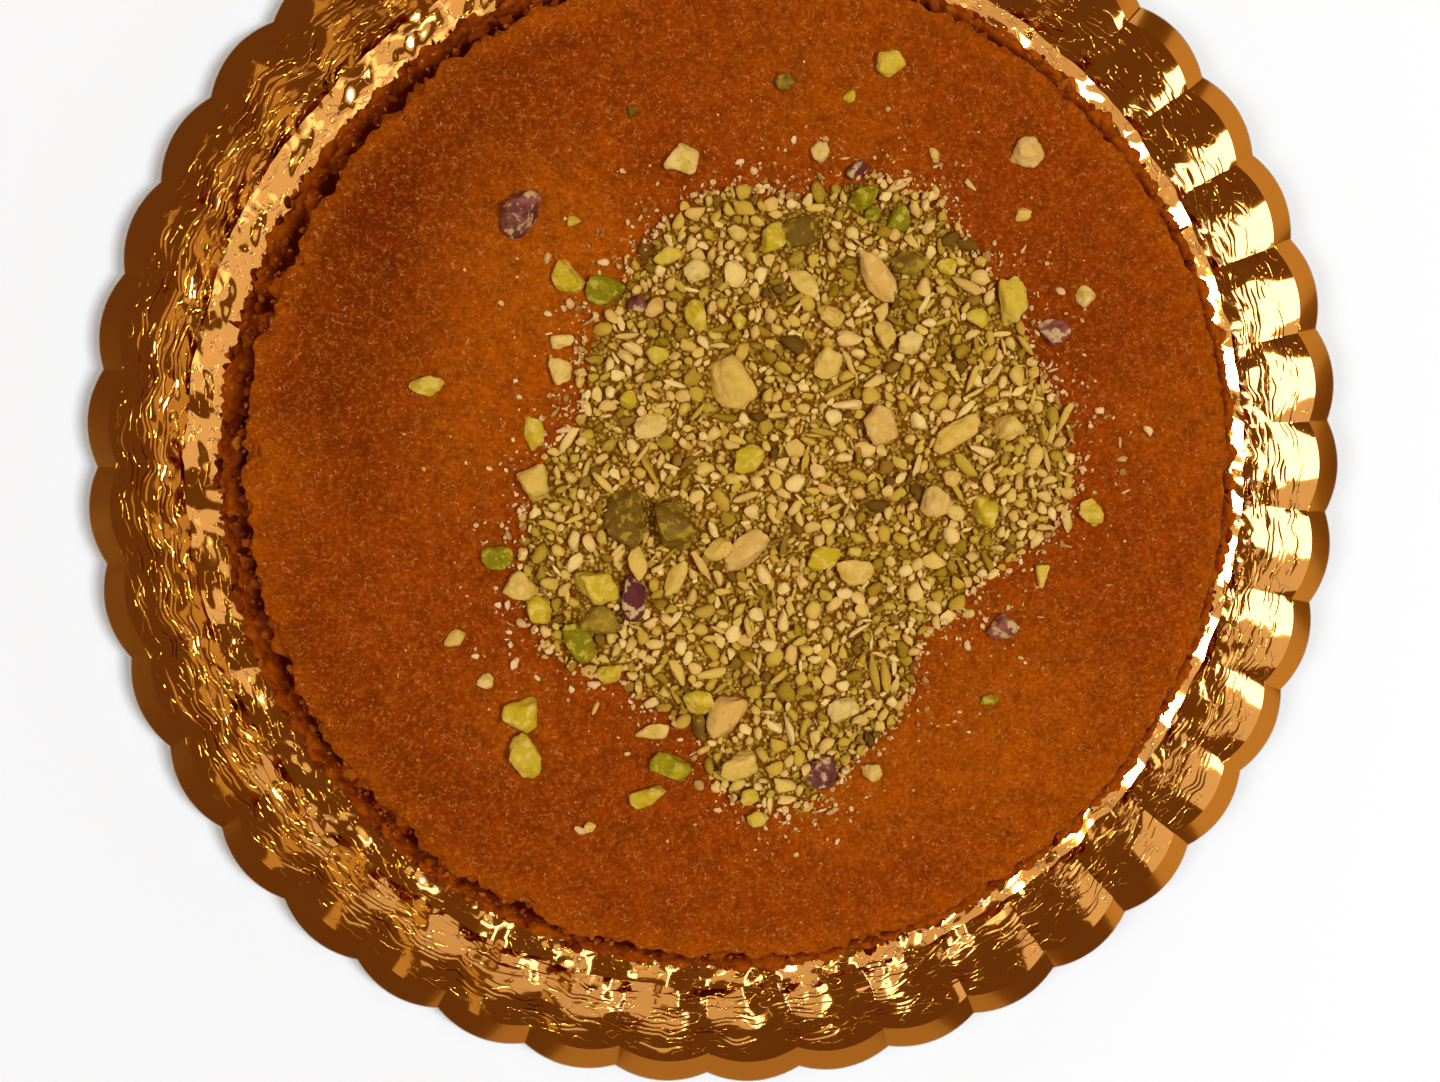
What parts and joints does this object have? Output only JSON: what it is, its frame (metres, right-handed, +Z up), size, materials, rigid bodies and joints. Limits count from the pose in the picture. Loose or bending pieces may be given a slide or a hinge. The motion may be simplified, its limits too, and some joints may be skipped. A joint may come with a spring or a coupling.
{
  "type": "kunafa on cake tray",
  "caption": "Whole round kunafa with a browned semolina crust and a heap of chopped pistachio, on a scalloped gold cake tray.",
  "frame": {"origin": "middle of the tray's flat underside, on the surface that the tray stands on", "axes": "+Z up; +X towards the side of the tray that the nut heap leans to; +Y across it, away from the heap's narrow tail"},
  "size_m": [0.2997, 0.2998, 0.0315],
  "materials": {
    "gold_foil": "gold-lacquered foil on board, embossed with fine wavy wrinkles",
    "semolina_crust": "browned fine semolina pastry, slightly syrupy, crumbly at the side",
    "chopped_pistachio": "dry chopped nut, pale yellow-green with brown skins"
  },
  "bodies": {
    "root": {"gold_tray": "gold_foil", "kunafa": "semolina_crust", "pistachio_heap": "chopped_pistachio"}
  },
  "joints": []
}
